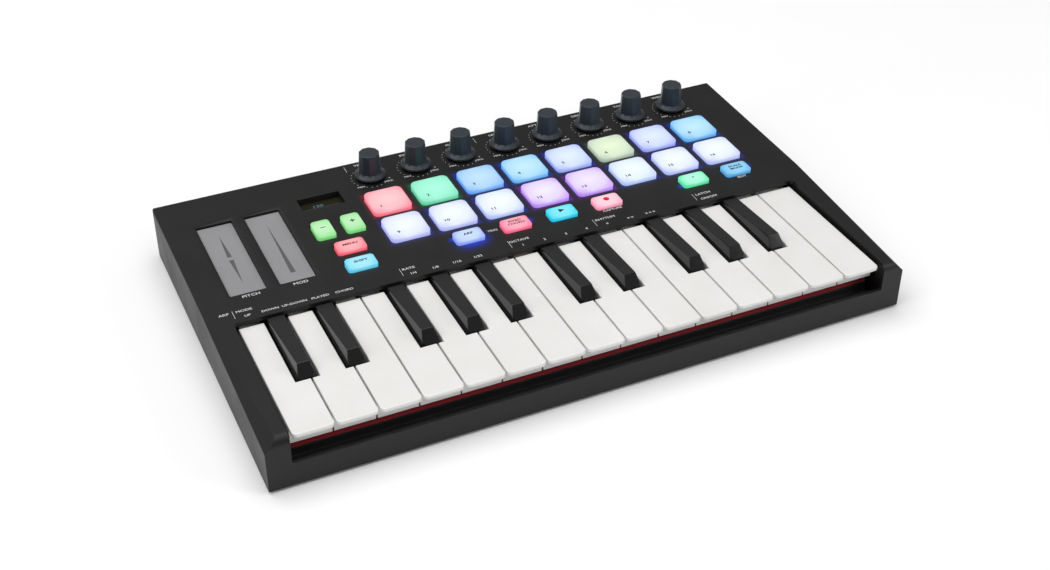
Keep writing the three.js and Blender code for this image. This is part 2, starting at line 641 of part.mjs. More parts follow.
function knob() {
  const base = CASE.height + KNOB.lift;
  const profile = [
    [0, KNOB.tall], [KNOB.capTop - KNOB.edge, KNOB.tall], [KNOB.capTop, KNOB.tall - KNOB.edge],
    [KNOB.capBase, KNOB.skirtTall], [KNOB.skirt, KNOB.skirtTall - KNOB.edge],
    [KNOB.skirt, 0], [SHAFT.bore, 0], [SHAFT.bore, SHAFT.depth], [0, SHAFT.depth],
  ];
  const points = profile.reverse().map(([r, z]) => new THREE.Vector2(r, z));
  return solid(new THREE.LatheGeometry(points, 12).rotateX(Math.PI / 2).translate(0, 0, base));
}

function touchStrip(x) {
  const y = (STRIP.front + STRIP.back) / 2;
  const depth = STRIP.back - STRIP.front;
  const under = panelUnder - GAP;
  const face = block(
    [x - STRIP.width / 2 + GAP, x + STRIP.width / 2 - GAP], [STRIP.front + GAP, STRIP.back - GAP],
    [under - 1, CASE.height - STRIP.sunk],
  );
  const flange = block(
    [x - STRIP.width / 2 - STRIP.lip, x + STRIP.width / 2 + STRIP.lip],
    [y - depth / 2 - STRIP.lip, y + depth / 2 + STRIP.lip], [under - STRIP.flange, under],
  );
  return face.add(flange);
}

function displayModule() {
  const top = CASE.height - SCREEN.sunk;
  const plate = ([halfX, halfY], z) => block(
    [SCREEN.x - halfX, SCREEN.x + halfX], [SCREEN.y - halfY, SCREEN.y + halfY], z,
  );
  const under = top - DISPLAY.glass;
  const glass = plate(DISPLAY.glassHalf, [under, top]);
  return glass.add(plate(DISPLAY.carrierHalf, [under + BITE - DISPLAY.carrier, under + BITE]));
}

// The main board carries the potentiometers with their shafts and the buttons' switches.
function controlBoard() {
  const boardX = [-BOARD.halfWidth, BOARD.halfWidth];
  const board = block(boardX, [BOARD.front, BOARD.back], [boardBottom, BOARD.top]);
  const seat = BOARD.top - BITE;
  const pots = columns.map((x) => block(
    [x - POT.width / 2, x + POT.width / 2], [KNOB.y - POT.depth / 2, KNOB.y + POT.depth / 2],
    [seat, BOARD.top + POT.tall],
  ));
  const shafts = columns.map((x) => post(x, KNOB.y, SHAFT.radius, [BOARD.top + POT.tall - 1, SHAFT.top], 10));
  const half = SWITCH.size / 2;
  const switches = BUTTONS.map(([, x, y]) => block(
    [x - half, x + half], [y - half, y + half], [seat, BOARD.top + SWITCH.tall],
  ));
  const jackHalf = JACK.body / 2 + 1;
  const jackRoom = block(
    [JACK.x - jackHalf, JACK.x + jackHalf], [halfDepth - CASE.wall - JACK.depth - 2, halfDepth],
    [boardBottom - 1, BOARD.top + 1],
  );
  const bossRooms = screws.map(([x, y]) => post(x, y, SCREW.boss + 1, [0, BOARD.top + 1], 8));
  return cut(joined([board, ...pots, ...shafts, ...switches]), [jackRoom, ...bossRooms]);
}

function usbSocket() {
  const z = BOARD.top + GAP + USB.height / 2;
  const mouth = halfDepth - GAP;
  const [wide, thick] = USB.tongue;
  const oval = (shrink) => roundedRect(
    USB.x, z, USB.width - 2 * shrink, USB.height - 2 * shrink, USB.radius - shrink,
  );
  const shell = acrossY(oval(0), [mouth - USB.depth, mouth]);
  const hollow = acrossY(oval(USB.wall), [mouth - USB.depth + 1, mouth + 1]);
  const tongueY = [mouth - USB.depth + BITE, mouth - 1];
  const tongue = block([USB.x - wide / 2, USB.x + wide / 2], tongueY, [z - thick / 2, z + thick / 2]);
  return shell.subtract(hollow).add(tongue);
}

function pedalJack() {
  const inside = halfDepth - CASE.wall - GAP;
  const half = JACK.body / 2;
  const z = [JACK.z - JACK.tall / 2, JACK.z + JACK.tall / 2];
  const body = block([JACK.x - half, JACK.x + half], [inside - JACK.depth, inside], z);
  const nose = rodAlongY(JACK.x, JACK.z, JACK.nose, [inside - 1, halfDepth - GAP]);
  const bore = rodAlongY(JACK.x, JACK.z, JACK.bore, [halfDepth - JACK.boreDepth, halfDepth + 1]);
  return body.add(nose).subtract(bore);
}

// ---------------------------------------------------------------- assembly

const keyboard = new THREE.Group();
keyboard.position.z = FOOT_PROUD;

function place(name, body, material, x = 0, y = 0) {
  const { vertProperties, triVerts } = body.getMesh();
  const geometry = new THREE.BufferGeometry();
  geometry.setAttribute('position', new THREE.Float32BufferAttribute(vertProperties, 3));
  geometry.setIndex(Array.from(triVerts));
  geometry.computeVertexNormals();
  const mesh = new THREE.Mesh(geometry, material);
  mesh.name = name;
  mesh.position.set(x, y, 0);
  keyboard.add(mesh);
}

function numbered(stem, index) {
  return `${stem}_${String(index).padStart(2, '0')}`;
}

place('top_case', topCase(), casePlastic);
place('bottom_case', bottomCase(), casePlastic);
place('key_bed', keyBed(), frameBlack);
place('key_felt', keyFelt(), feltRed);
place('key_contact_board', contactBoard(), boardGreen);
place('contact_rubber', contactRubber(), domeRubber);
place('control_board', controlBoard(), boardGreen);
place('pad_mat', padMat(), padSilicone);
place('pitch_strip', touchStrip(STRIP.pitchX), stripPlastic);
place('mod_strip', touchStrip(STRIP.modX), stripPlastic);
place('display_module', displayModule(), screenGlass);
place('usb_socket', usbSocket(), socketSteel);
place('pedal_jack', pedalJack(), jackPlastic);

footCentres().forEach(([name, x, y]) => place(name, foot(), footRubber, x, y));
BUTTONS.forEach(([name, x, y, turned]) => place(name, button(turned), padSilicone, x, y));
columns.forEach((x, i) => place(`knob_${i + 1}`, knob(), knobRubber, x, KNOB.y));
for (let index = 1; index <= KEY.count; index += 1) {
  place(numbered('white_key', index), whiteKey(index), whitePlastic);
}
blackCentres.forEach((black, i) => place(numbered('black_key', i + 1), blackKey(black), blackPlastic));

export default keyboard;
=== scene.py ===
"""Looks for a 25-key desktop keyboard controller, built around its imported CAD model.

Places come from the CAD nodes' boxes. Only the screws and the panel print are listed here, in the drawing's
millimetres. Lengths are in metres, and MM turns millimetres into them.
"""
import math

import bmesh
import bpy
from mathutils import Matrix, Vector


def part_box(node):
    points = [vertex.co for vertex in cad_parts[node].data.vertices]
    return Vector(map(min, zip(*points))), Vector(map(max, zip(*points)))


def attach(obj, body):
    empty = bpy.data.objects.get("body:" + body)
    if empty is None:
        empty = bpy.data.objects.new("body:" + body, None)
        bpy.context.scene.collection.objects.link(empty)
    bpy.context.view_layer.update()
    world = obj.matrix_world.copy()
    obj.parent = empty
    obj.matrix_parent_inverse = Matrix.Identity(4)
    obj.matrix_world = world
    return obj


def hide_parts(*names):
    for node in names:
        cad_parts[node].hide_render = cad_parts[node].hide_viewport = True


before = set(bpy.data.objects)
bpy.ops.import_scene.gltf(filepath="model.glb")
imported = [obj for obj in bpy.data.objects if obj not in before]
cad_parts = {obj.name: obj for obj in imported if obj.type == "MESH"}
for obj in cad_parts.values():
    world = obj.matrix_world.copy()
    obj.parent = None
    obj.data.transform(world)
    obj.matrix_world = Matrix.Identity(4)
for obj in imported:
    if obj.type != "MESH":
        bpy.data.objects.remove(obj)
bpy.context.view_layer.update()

MM = 0.001
ROOT = "case"
SMOOTH_ANGLE = math.radians(32)
FLAT_ANGLE = math.radians(0.6)  # CAD faces that meet at less than this become one face
SEAM = 0.002 * MM               # CAD points closer than this become one point
LEAST_CORNER = 0.2 * MM         # the tightest corner round a pad's or button's top edge
FELT_FORWARD = 0.8 * MM         # how far the felt reaches in front of its CAD solid, up to the shelf's edge
EDGE_WEAR = 0.45 * MM           # how far in from an edge the plastic is rubbed

PANEL_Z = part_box("top_case")[1].z
WHITE_KEYS = [f"white_key_{i:02d}" for i in range(1, 16)]
BLACK_KEYS = [f"black_key_{i:02d}" for i in range(1, 11)]
KNOBS = [f"knob_{i}" for i in range(1, 9)]

pad_low, pad_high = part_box("pad_mat")
PAD_MARGIN = 13 * MM     # from the sheet's edge to the middles of the outer pads
PAD_SIZE = 22 * MM       # the panel's opening for a pad
PAD_CAP = 21.4 * MM      # a pad's width and depth
PAD_FOOT = PANEL_Z - 2.9 * MM  # where the pads start, at the height of the sheet
PAD_SPAN = pad_high.x - pad_low.x - 2 * PAD_MARGIN
PAD_COLUMNS = [pad_low.x + PAD_MARGIN + k * PAD_SPAN / 7 for k in range(8)]
PAD_ROWS = [pad_high.y - PAD_MARGIN, pad_low.y + PAD_MARGIN]

# Each pad's rim colour and middle colour, back row first.
PAD_COLOURS = [
    ((250, 150, 165), (255, 206, 208)), ((135, 225, 190), (170, 250, 224)),
    ((140, 190, 248), (194, 226, 254)), ((140, 200, 248), (196, 234, 254)),
    ((180, 195, 250), (225, 238, 255)), ((190, 205, 190), (230, 248, 212)),
    ((180, 190, 250), (224, 236, 255)), ((130, 195, 243), (194, 234, 254)),
    ((200, 205, 250), (242, 250, 253)), ((200, 207, 250), (243, 251, 255)),
    ((200, 212, 250), (245, 251, 255)), ((205, 170, 250), (240, 236, 253)),
    ((205, 172, 250), (239, 233, 254)), ((200, 215, 250), (241, 250, 254)),
    ((200, 210, 250), (243, 251, 250)), ((203, 212, 250), (243, 251, 250)),
]
# The colour of the light painted on the panel round each pad, back row first, and how fast it fades.
PAINTED_GLOW_COLOURS = [
    (110, 8, 24), (10, 80, 55), (5, 40, 150), (5, 45, 150),
    (25, 30, 140), (50, 55, 60), (30, 30, 130), (5, 50, 140),
    (25, 25, 120), (20, 25, 140), (15, 30, 140), (90, 20, 140),
    (80, 20, 130), (20, 25, 125), (20, 25, 125), (25, 25, 120),
]
PAINTED_GLOW_REACH = 0.9 * MM
# The blue of the light painted on the panel beside some buttons.
PAINTED_SPOT_COLOUR = (0, 40, 190)
# Blue light painted on the panel beside some buttons: the button, x and y off its middle, and the painted
# spot's size, in millimetres.
PAINTED_GLOW_SPOTS = [
    ("button_arp", -2.0, -4.0, 5.0), ("button_arp", 4.5, -3.5, 4.5), ("button_arp", -8.5, 1.0, 1.8),
    ("button_chord", 8.8, 1.5, 1.6), ("button_next", -9.0, -2.5, 1.6), ("button_sound", 8.8, 2.0, 1.6),
]


def middle(name):
    low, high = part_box(name)
    return (low + high) / 2


def low_middle(name):
    """The middle of a CAD node's underside."""
    centre = middle(name)
    return Vector((centre.x, centre.y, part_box(name)[0].z))


# ---------------------------------------------------------------- camera, floor and light

def make_camera():
    """The photograph's view: from the player's left, a little over a third of a right angle up."""
    azimuth, elevation, roll = math.radians(-26.2), math.radians(35.36), math.radians(1.24)
    distance = 0.8631
    target = Vector((0.0283, 0.01204, 0.0015))
    back = Vector((math.sin(azimuth) * math.cos(elevation),
                   -math.cos(azimuth) * math.cos(elevation),
                   math.sin(elevation)))
    right = Vector((0, 0, 1)).cross(back).normalized()
    up = back.cross(right)
    turned_right = math.cos(roll) * right + math.sin(roll) * up
    turned_up = -math.sin(roll) * right + math.cos(roll) * up
    data = bpy.data.cameras.new("camera")
    data.lens = 53.93
    data.sensor_width = 36
    data.shift_x = -0.0328
    data.shift_y = -0.0301
    data.clip_end = 20
    camera = bpy.data.objects.new("camera", data)
    bpy.context.scene.collection.objects.link(camera)
    basis = Matrix((turned_right, turned_up, back)).transposed().to_4x4()
    basis.translation = target + distance * back
    camera.matrix_world = basis
    bpy.context.scene.camera = camera


def area_light(name, place, aim, size, power, colour=(1, 1, 1)):
    data = bpy.data.lights.new(name, "AREA")
    data.shape = "RECTANGLE"
    data.size, data.size_y = size
    data.energy = power
    data.color = colour
    light = bpy.data.objects.new(name, data)
    bpy.context.scene.collection.objects.link(light)
    light.location = place
    light.rotation_euler = (Vector(aim) - Vector(place)).to_track_quat("-Z", "Y").to_euler()
    return light


def make_studio():
    """A wide soft box overhead, small ones in front on the right and on the left, and a dim white room."""
    world = bpy.data.worlds.new("studio")
    bpy.context.scene.world = world
    world.use_nodes = True
    world.node_tree.nodes["Background"].inputs["Color"].default_value = (1, 1, 1, 1)
    world.node_tree.nodes["Background"].inputs["Strength"].default_value = 0.22
    area_light("overhead_box", (-0.35, 0.15, 1.8), (0, 0, 0), (2.6, 2.6), 42)
    area_light("front_box", (1.3, -1.1, 0.85), (0.1, 0, 0), (0.7, 0.6), 8)
    area_light("left_box", (-1.3, -0.2, 0.6), (0, 0, 0), (0.5, 1.2), 3)
    bm = bmesh.new()
    bmesh.ops.create_grid(bm, x_segments=2, y_segments=2, size=6)
    floor = new_object("floor", bm)
    floor_look, shader, links = new_material("floor_white", (0.95, 0.95, 0.95), 0.9)
    cloud = noise(floor_look, 3)
    links.new(tinted(floor_look, cloud, (0.94, 0.94, 0.94), (0.96, 0.96, 0.96)), shader.inputs["Base Color"])
    floor.data.materials.append(floor_look)


# ---------------------------------------------------------------- mesh helpers

def new_object(name, bm):
    mesh = bpy.data.meshes.new(name)
    bm.to_mesh(mesh)
    bm.free()
    made = bpy.data.objects.new(name, mesh)
    bpy.context.scene.collection.objects.link(made)
    return made


def shade(bm, angle=SMOOTH_ANGLE):
    """Smooth faces with a crease wherever two of them meet at more than the angle."""
    bm.normal_update()
    for face in bm.faces:
        face.smooth = True
    for edge in bm.edges:
        edge.smooth = len(edge.link_faces) == 2 and edge.calc_face_angle(0) < angle


def round_edges(bm, radius, segments, chosen=None):
    """Rounds every sharp edge, or the chosen ones."""
    bm.normal_update()
    edges = [
        e for e in bm.edges
        if len(e.link_faces) == 2 and e.calc_face_angle(0) > SMOOTH_ANGLE and (chosen is None or chosen(e))
    ]
    bmesh.ops.bevel(bm, geom=edges, offset=radius, offset_type="OFFSET", segments=segments,
                    profile=0.5, affect="EDGES", clamp_overlap=True)


def piece(name, bm, look, body, stands_for=(), place=None):
    """Turns a finished bmesh into a piece that rides on a body."""
    shade(bm)
    made = new_object(name, bm)
    made.data.materials.append(look)
    even = made.modifiers.new("even_shading", "WEIGHTED_NORMAL")
    even.keep_sharp = True
    even.weight = 90
    if place is not None:
        made.location = place
    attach(made, body)
    if stands_for:
        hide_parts(*stands_for)
    return made


def solid_of(cad_name):
    """A bmesh of a CAD node with its flat faces whole again."""
    bm = bmesh.new()
    bm.from_mesh(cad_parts[cad_name].data)
    bmesh.ops.remove_doubles(bm, verts=bm.verts, dist=SEAM)
    bmesh.ops.dissolve_limit(bm, angle_limit=FLAT_ANGLE, verts=bm.verts, edges=bm.edges)
    return bm


def refined(cad_name, name, look, body, radius, segments=2, chosen=None):
    """The CAD solid with its sharp edges rounded as moulded ones are."""
    bm = solid_of(cad_name)
    round_edges(bm, radius, segments, chosen)
    return piece(name, bm, look, body, (cad_name,))


def loft(rings):
    """A closed mesh through rings of the same number of points, first ring to last."""
    bm = bmesh.new()
    rows = [[bm.verts.new(p) for p in ring] for ring in rings]
    count = len(rings[0])
    for low, high in zip(rows, rows[1:]):
        for i in range(count):
            j = (i + 1) % count
            bm.faces.new((low[i], low[j], high[j], high[i]))
    bm.faces.new(list(reversed(rows[0])))
    bm.faces.new(rows[-1])
    bmesh.ops.recalc_face_normals(bm, faces=bm.faces)
    return bm


def rounded_ring(width, depth, radius, z, steps=4):
    """The points of a rectangle with round corners, at height z."""
    points = []
    corners = [(1, -1, -90), (1, 1, 0), (-1, 1, 90), (-1, -1, 180)]
    for sx, sy, start in corners:
        cx, cy = sx * (width / 2 - radius), sy * (depth / 2 - radius)
        for k in range(steps + 1):
            a = math.radians(start + 90 * k / steps)
            points.append((cx + radius * math.cos(a), cy + radius * math.sin(a), z))
    return points


def soft_block(width, depth, low, high, corner, edge, swell):
    """A rubber cap: straight sides, a round top edge and a top that swells in the middle."""
    rings = [rounded_ring(width, depth, corner, low), rounded_ring(width, depth, corner, high - edge)]
    steps = 5
    for k in range(1, steps + 1):
        a = math.radians(90 * k / steps)
        inset = edge * (1 - math.cos(a))
        z = high - edge + edge * math.sin(a)
        rings.append(rounded_ring(width - 2 * inset, depth - 2 * inset, max(corner - inset, LEAST_CORNER), z))
    for share in (0.75, 0.5, 0.25, 0.08):
        w, d = (width - 2 * edge) * share, (depth - 2 * edge) * share
        rise = swell * (1 - share * share)
        rings.append(rounded_ring(w, d, max(corner - edge, LEAST_CORNER) * share, high + rise))
    return loft(rings)


def turned(profile, sides):
    """A profile of (radius, height) from axis to axis, spun about Z."""
    bm = bmesh.new()
    first = bm.verts.new((0, 0, profile[0][1]))
    last = bm.verts.new((0, 0, profile[-1][1]))
    angles = [2 * math.pi * k / sides for k in range(sides)]
    rings = []
    for radius, z in profile[1:-1]:
        rings.append([bm.verts.new((radius * math.cos(a), radius * math.sin(a), z)) for a in angles])
    for k in range(sides):
        j = (k + 1) % sides
        bm.faces.new((first, rings[0][j], rings[0][k]))
        bm.faces.new((last, rings[-1][k], rings[-1][j]))
        for low, high in zip(rings, rings[1:]):
            bm.faces.new((low[k], low[j], high[j], high[k]))
    bmesh.ops.recalc_face_normals(bm, faces=bm.faces)
    return bm


def add_prism(bm, outline, z, tall):
    """Adds an upright prism from its outline, anticlockwise."""
    low = [bm.verts.new((x, y, z)) for x, y in outline]
    high = [bm.verts.new((x, y, z + tall)) for x, y in outline]
    bm.faces.new(high)
    bm.faces.new(list(reversed(low)))
    for i in range(len(outline)):
        j = (i + 1) % len(outline)
        bm.faces.new((low[i], low[j], high[j], high[i]))


def cross_outline(arm, half, x=0.0, y=0.0):
    """A plus sign round (x, y): each arm reaches arm from the middle and is twice half wide."""
    corners = [(half, -arm), (half, -half), (arm, -half), (arm, half), (half, half), (half, arm),
               (-half, arm), (-half, half), (-arm, half), (-arm, -half), (-half, -half), (-half, -arm)]
    return [(x + u, y + v) for u, v in corners]


# ---------------------------------------------------------------- material helpers

NOISE_LOW, NOISE_HIGH = 0.3, 0.7  # nearly all of a noise's values lie between these


def srgb(r, g, b):
    """Screen colour values from 0 to 255 as a linear colour."""
    def linear(value):
        value /= 255
        return value / 12.92 if value <= 0.04045 else ((value + 0.055) / 1.055) ** 2.4
    return (linear(r), linear(g), linear(b))


def new_material(name, colour, roughness):
    look = bpy.data.materials.new(name)
    look.use_nodes = True
    look.diffuse_color = (*colour, 1)
    shader = look.node_tree.nodes["Principled BSDF"]
    shader.inputs["Base Color"].default_value = (*colour, 1)
    shader.inputs["Roughness"].default_value = roughness
    return look, shader, look.node_tree.links


def feed(look, value, socket):
    """Links a node's output to a socket, or sets the socket to a number or a colour."""
    if isinstance(value, bpy.types.NodeSocket):
        look.node_tree.links.new(value, socket)
    elif socket.type == "RGBA":
        socket.default_value = (*value, 1)
    else:
        socket.default_value = value


def add_node(look, kind, **inputs):
    """Adds a node; an input's name has underscores for its spaces."""
    made = look.node_tree.nodes.new(kind)
    for key, value in inputs.items():
        feed(look, value, made.inputs[key.replace("_", " ")])
    return made


def math_node(look, operation, a, b=None, c=None, clamp=False):
    made = add_node(look, "ShaderNodeMath")
    made.operation = operation
    made.use_clamp = clamp
    for slot, value in enumerate((a, b, c)):
        if value is not None:
            feed(look, value, made.inputs[slot])
    return made.outputs[0]


def vector_node(look, operation, first, second=None, scale=None):
    made = add_node(look, "ShaderNodeVectorMath")
    made.operation = operation
    for slot, value in ((0, first), (1, second), ("Scale", scale)):
        if value is not None:
            feed(look, value, made.inputs[slot])
    return made.outputs["Value" if operation == "DOT_PRODUCT" else "Vector"]


def gap(look, a, b):
    """How far apart two numbers are."""
    return math_node(look, "ABSOLUTE", math_node(look, "SUBTRACT", a, b))


def squared_reach(look, a, b):
    """The square of how far (a, b) is from the origin."""
    return math_node(look, "ADD", math_node(look, "MULTIPLY", a, a), math_node(look, "MULTIPLY", b, b))


def coordinates(look):
    return add_node(look, "ShaderNodeTexCoord").outputs["Object"]


def split(look, vector):
    return add_node(look, "ShaderNodeSeparateXYZ", Vector=vector).outputs


def noise(look, scale, detail=4.0, roughness=0.55, stretch=None):
    """Cloudy noise in the piece's own metres; stretch draws it out along an axis."""
    source = coordinates(look)
    if stretch is not None:
        source = add_node(look, "ShaderNodeMapping", Scale=stretch, Vector=source).outputs["Vector"]
    made = add_node(look, "ShaderNodeTexNoise", Vector=source, Scale=scale, Detail=detail,
                    Roughness=roughness)
    return made.outputs["Fac"]


def ramp(look, source, stops, interpolation="LINEAR"):
    """A colour ramp; each stop is (place, colour) or (place, grey)."""
    made = add_node(look, "ShaderNodeValToRGB", Fac=source)
    band = made.color_ramp
    band.interpolation = interpolation
    while len(band.elements) < len(stops):
        band.elements.new(0.5)
    for element, (place, colour) in zip(band.elements, stops):
        element.position = place
        element.color = (colour, colour, colour, 1) if isinstance(colour, (int, float)) else (*colour, 1)
    return made.outputs["Color"]


def spread(look, source, low, high):
    """Noise stretched to run from low to high."""
    made = add_node(look, "ShaderNodeMapRange", Value=source, From_Min=NOISE_LOW, From_Max=NOISE_HIGH,
                    To_Min=low, To_Max=high)
    return made.outputs["Result"]


def bump(look, shader, source, strength, height):
    made = add_node(look, "ShaderNodeBump", Strength=strength, Distance=height, Height=source)
    feed(look, made.outputs["Normal"], shader.inputs["Normal"])


def tinted(look, source, dark, light):
    return ramp(look, source, [(NOISE_LOW, dark), (NOISE_HIGH, light)])


def scaled(colour, factor):
    return tuple(channel * factor for channel in colour)


def worn_edges(look, radius):
    """Up to 1 along the sharp edges, in uneven patches, and 0 elsewhere."""
    rounded = add_node(look, "ShaderNodeBevel", Radius=radius)
    rounded.samples = 4
    geometry = add_node(look, "ShaderNodeNewGeometry")
    agreement = vector_node(look, "DOT_PRODUCT", rounded.outputs["Normal"], geometry.outputs["Normal"])
    turn = math_node(look, "SUBTRACT", 1.0, agreement)
    rim = math_node(look, "MULTIPLY", turn, 8.0, clamp=True)
    return math_node(look, "MULTIPLY", rim, spread(look, noise(look, 160, 5), 0.0, 1.0), clamp=True)


def blended(look, share, first, second):
    """The first colour where share is 0 and the second where it is 1."""
    mix = add_node(look, "ShaderNodeMix")
    mix.data_type = "RGBA"
    for name, value in (("Factor", share), ("A", first), ("B", second)):
        feed(look, value, mix.inputs[name])
    return mix.outputs["Result"]


def moulded(name, colour, roughness, grain_mm=0.25, grain_height=0.01, variation=0.12):
    """Moulded plastic or rubber: a fine grain, slow changes of tone and polish, and paler rubbed edges."""
    look, shader, links = new_material(name, colour, roughness)
    cloud = noise(look, 45, 5)
    tone = tinted(look, cloud, scaled(colour, 1 - variation), scaled(colour, 1 + variation))
    wear = worn_edges(look, EDGE_WEAR)
    links.new(blended(look, wear, tone, scaled(colour, 2.2)), shader.inputs["Base Color"])
    fine = noise(look, 1 / (grain_mm * MM), 3)
    polish = math_node(look, "ADD", spread(look, cloud, roughness - 0.05, roughness + 0.05),
                       spread(look, fine, -0.03, 0.03))
    links.new(math_node(look, "MULTIPLY_ADD", wear, -0.12, polish), shader.inputs["Roughness"])
    bump(look, shader, fine, 0.35, grain_height * MM)
    return look, shader


# ---------------------------------------------------------------- materials

def painted_pad_glow(look, x, y):
    """Painted light: coloured glow painted on the panel round the pads, fading away from the nearest opening.
    """
    count = len(PAD_COLUMNS)
    pitch = PAD_COLUMNS[1] - PAD_COLUMNS[0]
    start = PAD_COLUMNS[0] - pitch / 2
    share = math_node(look, "DIVIDE", math_node(look, "SUBTRACT", x, start), pitch * count)
    column = math_node(look, "FRACT", math_node(look, "MULTIPLY", share, count))
    across = math_node(look, "MULTIPLY", gap(look, column, 0.5), pitch)
    along = [gap(look, y, row) for row in PAD_ROWS]
    nearest = math_node(look, "MAXIMUM", across, math_node(look, "MINIMUM", *along))
    beyond = math_node(look, "MAXIMUM", math_node(look, "SUBTRACT", nearest, PAD_SIZE / 2), 0.0)
    fade = math_node(look, "POWER", math.e, math_node(look, "DIVIDE", beyond, -PAINTED_GLOW_REACH))
    past_start = math_node(look, "GREATER_THAN", share, 0.0)
    before_end = math_node(look, "LESS_THAN", share, 1.0)
    inside = math_node(look, "MULTIPLY", past_start, before_end)
    bands = []
    for first in (0, count):
        stops = [(k / count, srgb(*PAINTED_GLOW_COLOURS[first + k])) for k in range(count)]
        bands.append(ramp(look, share, stops, "CONSTANT"))
    back_row = math_node(look, "GREATER_THAN", y, sum(PAD_ROWS) / 2)
    tint = blended(look, back_row, bands[1], bands[0])
    return vector_node(look, "SCALE", tint, scale=math_node(look, "MULTIPLY", fade, inside))


def add_painted_button_glows(look, x, y, total):
    """Adds the blue spots of light painted on the panel beside some buttons."""
    for name, shift_x, shift_y, reach in PAINTED_GLOW_SPOTS:
        centre = middle(name)
        dx = math_node(look, "SUBTRACT", x, centre.x + shift_x * MM)
        dy = math_node(look, "SUBTRACT", y, centre.y + shift_y * MM)
        falloff = math_node(look, "DIVIDE", squared_reach(look, dx, dy), -(reach * MM) ** 2)
        painted_spot = vector_node(look, "SCALE", srgb(*PAINTED_SPOT_COLOUR), scale=math_node(look, "POWER", math.e, falloff))
        total = vector_node(look, "ADD", total, painted_spot)
    return total


def case_look():
    """Black plastic; round each lit pad and some buttons a little coloured light is painted onto the panel as
    a glow.
    """
    look, shader = moulded("case_black", srgb(23, 22.5, 22), 0.46, 0.3, 0.012, 0.08)
    shader.inputs["Specular IOR Level"].default_value = 0.32
    x, y, z = split(look, coordinates(look))
    on_panel = math_node(look, "GREATER_THAN", z, PANEL_Z - 4 * MM)
    painted_glow = add_painted_button_glows(look, x, y, painted_pad_glow(look, x, y))
    # the coloured light round the pads and buttons is painted onto the panel as emission, not cast by them
    feed(look, vector_node(look, "SCALE", painted_glow, scale=on_panel), shader.inputs["Emission Color"])
    shader.inputs["Emission Strength"].default_value = 1
    return look


def white_key_look():
    look, shader, links = new_material("key_ivory", srgb(228, 227, 225), 0.32)
    cloud = noise(look, 30, 4)
    links.new(tinted(look, cloud, srgb(225, 224, 221), srgb(231, 230, 229)), shader.inputs["Base Color"])
    fine = noise(look, 900, 3)
    links.new(math_node(look, "ADD", spread(look, cloud, 0.28, 0.38), spread(look, fine, -0.02, 0.02)),
              shader.inputs["Roughness"])
    shader.inputs["Subsurface Weight"].default_value = 0.06
    shader.inputs["Subsurface Radius"].default_value = (0.004, 0.003, 0.002)
    bump(look, shader, fine, 0.12, 0.004 * MM)
    return look


def black_key_look():
    """Satin on the upward faces, where fingers play, and polished on the sides and the sloping front."""
    colour = srgb(22, 22, 22)
    look, shader, links = new_material("key_black", colour, 0.3)
    geometry = add_node(look, "ShaderNodeNewGeometry")
    upward = split(look, geometry.outputs["Normal"])["Z"]
    satin = ramp(look, upward, [(0.8, 0.12), (0.95, 0.45)])
    fine = noise(look, 1400, 3)
    links.new(math_node(look, "ADD", satin, spread(look, fine, -0.04, 0.04)), shader.inputs["Roughness"])
    cloud = noise(look, 60, 4)
    links.new(tinted(look, cloud, srgb(20, 20, 20), srgb(25, 25, 25)), shader.inputs["Base Color"])
    bump(look, shader, fine, 0.1, 0.004 * MM)
    return look


def knob_look():
    look, shader = moulded("knob_blue_black", srgb(24, 34, 43), 0.42, 0.35, 0.02, 0.12)
    shader.inputs["Sheen Weight"].default_value = 0.15
    shader.inputs["Sheen Roughness"].default_value = 0.5
    return look


LIT_TOP = 1.9 * MM       # how far above the panel a lit cap's sides end and its top begins
LIT_STRENGTH = 0.95


def lit_look(name, edge, centre, radius):
    """Translucent silicone with a lamp behind its middle: palest there, and its own colour at the rim."""
    look, shader, links = new_material(name, scaled(edge, 0.12), 0.45)
    x, y, z = split(look, coordinates(look))
    across = math_node(look, "DIVIDE", x, radius)
    along = math_node(look, "DIVIDE", y, radius)
    reach = math_node(look, "SQRT", squared_reach(look, across, along))
    cloud = noise(look, 120, 3)
    uneven = math_node(look, "ADD", reach, spread(look, cloud, -0.08, 0.08))
    between = tuple(0.35 * e + 0.65 * c for e, c in zip(edge, centre))
    glow = ramp(look, uneven, [(0.1, centre), (0.6, between), (0.85, edge)])
    depth = math_node(look, "DIVIDE", math_node(look, "SUBTRACT", LIT_TOP, z), LIT_TOP, clamp=True)
    deep = tuple(channel ** 1.5 * 0.9 for channel in edge)
    links.new(blended(look, depth, glow, deep), shader.inputs["Emission Color"])
    shader.inputs["Emission Strength"].default_value = LIT_STRENGTH
    fine = noise(look, 1600, 3)
    links.new(spread(look, fine, 0.4, 0.5), shader.inputs["Roughness"])
    bump(look, shader, fine, 0.15, 0.006 * MM)
    return look


def printed_look(name, colour, roughness=0.55):
    look, shader, links = new_material(name, colour, roughness)
    worn = noise(look, 2500, 3)
    links.new(tinted(look, worn, scaled(colour, 0.75), colour), shader.inputs["Base Color"])
    return look


def felt_look():
    look, shader, links = new_material("felt_red", srgb(165, 8, 30), 0.95)
    fibres = noise(look, 2200, 6, 0.7, (1, 3, 3))
    links.new(tinted(look, fibres, srgb(130, 3, 20), srgb(190, 14, 42)), shader.inputs["Base Color"])
    shader.inputs["Sheen Weight"].default_value = 0.6
    shader.inputs["Sheen Roughness"].default_value = 0.4
    bump(look, shader, fibres, 0.8, 0.12 * MM)
    return look


def metal_look(name, colour, roughness, scratch=(1, 1, 1)):
    look, shader, links = new_material(name, colour, roughness)
    shader.inputs["Metallic"].default_value = 1
    streaks = noise(look, 1500, 4, 0.6, scratch)
    links.new(spread(look, streaks, roughness - 0.08, roughness + 0.1), shader.inputs["Roughness"])
    links.new(tinted(look, streaks, scaled(colour, 0.85), colour), shader.inputs["Base Color"])
    bump(look, shader, streaks, 0.2, 0.004 * MM)
    return look


